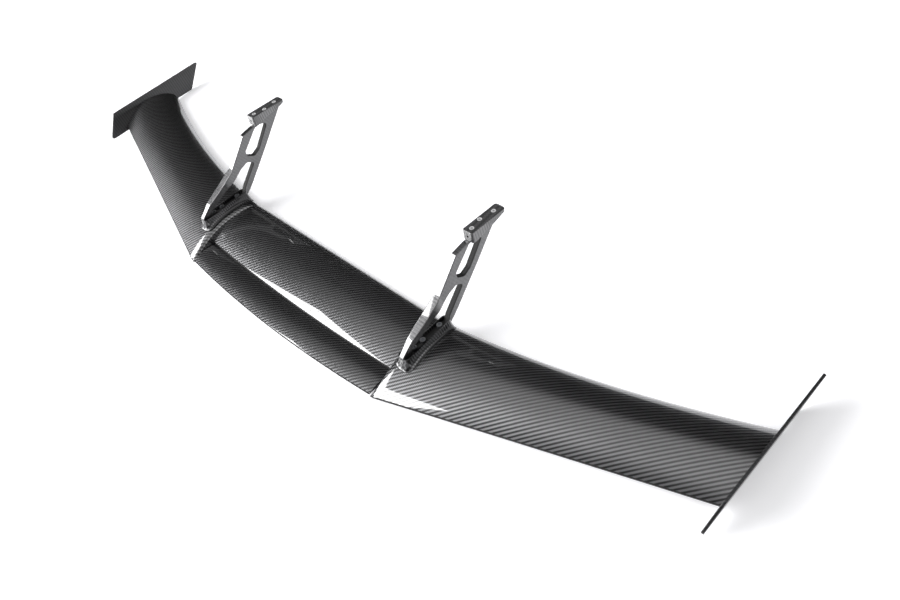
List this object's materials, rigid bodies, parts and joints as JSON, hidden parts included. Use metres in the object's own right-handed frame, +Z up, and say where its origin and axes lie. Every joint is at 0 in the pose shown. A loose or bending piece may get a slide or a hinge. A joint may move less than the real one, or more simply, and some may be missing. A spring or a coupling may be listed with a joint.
{
  "type": "racing rear wing",
  "caption": "Kinked carbon rear wing with a slotted centre flap, swan-neck uprights, bolted feet and leaning endplates, stored upside down on its trailing edge.",
  "frame": {"origin": "on the resting plane, under the middle of the whole part: the wing lies upside down on its slot walls and endplates", "axes": "+X along the span towards the right end, +Y towards the leading edge, +Z up from the surface it lies on; on a car the part is turned over, so the feet then point down"},
  "size_m": [1.66, 0.414, 0.1725],
  "materials": {
    "gloss_carbon": "clear-coated 2x2 twill carbon",
    "upright_carbon": "clear-coated carbon, twill on the foot and the neck",
    "endplate_carbon": "clear-coated twill carbon sheet",
    "structure_carbon": "bare carbon laminate",
    "alloy": "machined alloy",
    "fastener_steel": "zinc-nickel plated steel",
    "bush_bronze": "sintered bronze",
    "gasket_rubber": "matt black rubber"
  },
  "bodies": {
    "wing": {"centre_suction_skin": "gloss_carbon", "centre_pressure_skin": "gloss_carbon", "outer_suction_skin_left": "gloss_carbon", "outer_suction_skin_right": "gloss_carbon", "outer_pressure_skin_left": "gloss_carbon", "outer_pressure_skin_right": "gloss_carbon", "centre_spar": "structure_carbon", "outer_spar_left": "structure_carbon", "outer_spar_right": "structure_carbon", "inner_ribs": "structure_carbon", "slot_wall_left": "gloss_carbon", "slot_wall_right": "gloss_carbon", "tip_rib_left": "alloy", "tip_rib_right": "alloy", "mount_block_left": "alloy", "mount_block_right": "alloy", "endplate_left": "endplate_carbon", "endplate_right": "endplate_carbon", "endplate_screws": "fastener_steel", "upright_left": "upright_carbon", "upright_right": "upright_carbon", "saddle_left": "upright_carbon", "saddle_right": "upright_carbon", "saddle_gaskets": "gasket_rubber", "upright_bolts": "fastener_steel", "foot_left": "upright_carbon", "foot_right": "upright_carbon", "foot_inserts": "fastener_steel", "foot_dowels": "fastener_steel", "pivot_bushes": "bush_bronze"},
    "flap": {"flap_suction_skin": "gloss_carbon", "flap_pressure_skin": "gloss_carbon", "flap_spar": "structure_carbon", "flap_end_rib_left": "structure_carbon", "flap_end_rib_right": "structure_carbon", "flap_pivot_pins": "fastener_steel"}
  },
  "joints": [
    {"name": "flap_angle", "type": "hinge", "parent": "wing", "child": "flap", "pos_m": [0, -0.15025, 0.00659], "axis": [1, 0, 0], "range_deg": [-6, 14]}
  ]
}
